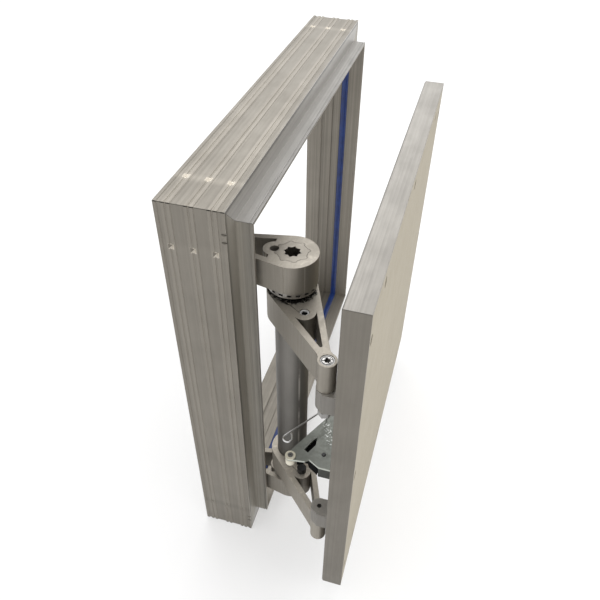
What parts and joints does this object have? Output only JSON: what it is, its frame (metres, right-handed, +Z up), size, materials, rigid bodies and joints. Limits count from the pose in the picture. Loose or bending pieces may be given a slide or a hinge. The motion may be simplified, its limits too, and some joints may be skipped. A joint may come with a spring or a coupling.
{
  "type": "ceiling access panel",
  "caption": "Square access panel: a deep mitred aluminium sleeve with a rubber seal, and a boarded door that swings out and aside on paired links turning about a tube.",
  "frame": {"origin": "half way along the sleeve's lower outside face, on the front rib of its middle pair", "axes": "+X from the back of the frame out through the door, +Y from the hinge side to the far side, +Z up as pictured; the links' shafts run along Z"},
  "size_m": [0.1583, 0.443, 0.4],
  "materials": {
    "frame_profile": "drawn mill finish, satin",
    "door_profile": "drawn mill finish, satin",
    "corner_cleat": "sawn",
    "seal_rubber": "smooth semi-gloss",
    "bracket_aluminium": "extruded, satin",
    "lever_aluminium": "sawn extrusion, satin",
    "insert_steel": "zinc plated",
    "fastener_steel": "zinc plated",
    "bearing_steel": "machined",
    "tube_steel": "drawn tube, dull",
    "board_panel": "matt paper-faced board",
    "zinc_plate": "galvanised, fine spangle",
    "black_plastic": "moulded",
    "ivory_plastic": "moulded, satin",
    "wire_steel": "drawn wire, bright"
  },
  "bodies": {
    "frame": {"frame_profile_near": "frame_profile", "frame_profile_far": "frame_profile", "frame_profile_bottom": "frame_profile", "frame_profile_top": "frame_profile", "frame_corner_cleats": "corner_cleat", "frame_seal": "seal_rubber", "frame_bracket_upper": "bracket_aluminium", "frame_bracket_lower": "bracket_aluminium", "frame_bracket_screws": "fastener_steel", "link_pins": "fastener_steel"},
    "links": {"frame_link_upper": "lever_aluminium", "frame_link_lower": "lever_aluminium", "index_insert_upper": "insert_steel", "index_insert_lower": "insert_steel", "insert_lock_screws": "fastener_steel", "torsion_bar": "fastener_steel"},
    "arms": {"door_arm_upper": "lever_aluminium", "door_arm_lower": "lever_aluminium", "shaft_tube": "tube_steel", "thrust_races": "bearing_steel", "thrust_cage_upper": "bearing_steel", "thrust_cage_lower": "bearing_steel", "arm_clamp_screws": "fastener_steel", "pivot_screw_upper": "fastener_steel", "pivot_screw_lower": "fastener_steel", "pivot_bush": "insert_steel", "pivot_nut": "fastener_steel"},
    "door": {"door_profile_near": "door_profile", "door_profile_far": "door_profile", "door_profile_bottom": "door_profile", "door_profile_top": "door_profile", "door_corner_cleats": "corner_cleat", "door_hinge_rail": "door_profile", "door_board": "board_panel", "board_screws": "fastener_steel", "door_bracket_upper": "bracket_aluminium", "door_bracket_lower": "bracket_aluminium", "guide_plate": "zinc_plate", "guide_block": "black_plastic", "guide_rivet": "fastener_steel", "guide_wire": "wire_steel", "roller_pin": "fastener_steel", "roller_washer": "ivory_plastic"},
    "roller": {"guide_roller": "ivory_plastic"}
  },
  "joints": [
    {"name": "frame_link_swing", "type": "hinge", "parent": "frame", "child": "links", "pos_m": [-0.0217, -0.1606, 0.2], "axis": [0, 0, 1], "range_deg": [0, 81.79]},
    {"name": "arm_turn", "type": "hinge", "parent": "links", "child": "arms", "pos_m": [0.0571, -0.1606, 0.2], "axis": [0, 0, 1], "range_deg": [-103.14, 0]},
    {"name": "door_pivot", "type": "hinge", "parent": "arms", "child": "door", "pos_m": [0.10224, -0.22777, 0.2], "axis": [0, 0, 1], "range_deg": [0, 21.35]},
    {"name": "guide_roller_spin", "type": "hinge", "parent": "door", "child": "roller", "pos_m": [0.07294, -0.21857, 0.174], "axis": [0, 0, 1], "continuous": true}
  ],
  "couplings": [
    {"joint": "arm_turn", "follows": "frame_link_swing", "ratio": -1.2609},
    {"joint": "door_pivot", "follows": "frame_link_swing", "ratio": 0.26089}
  ]
}
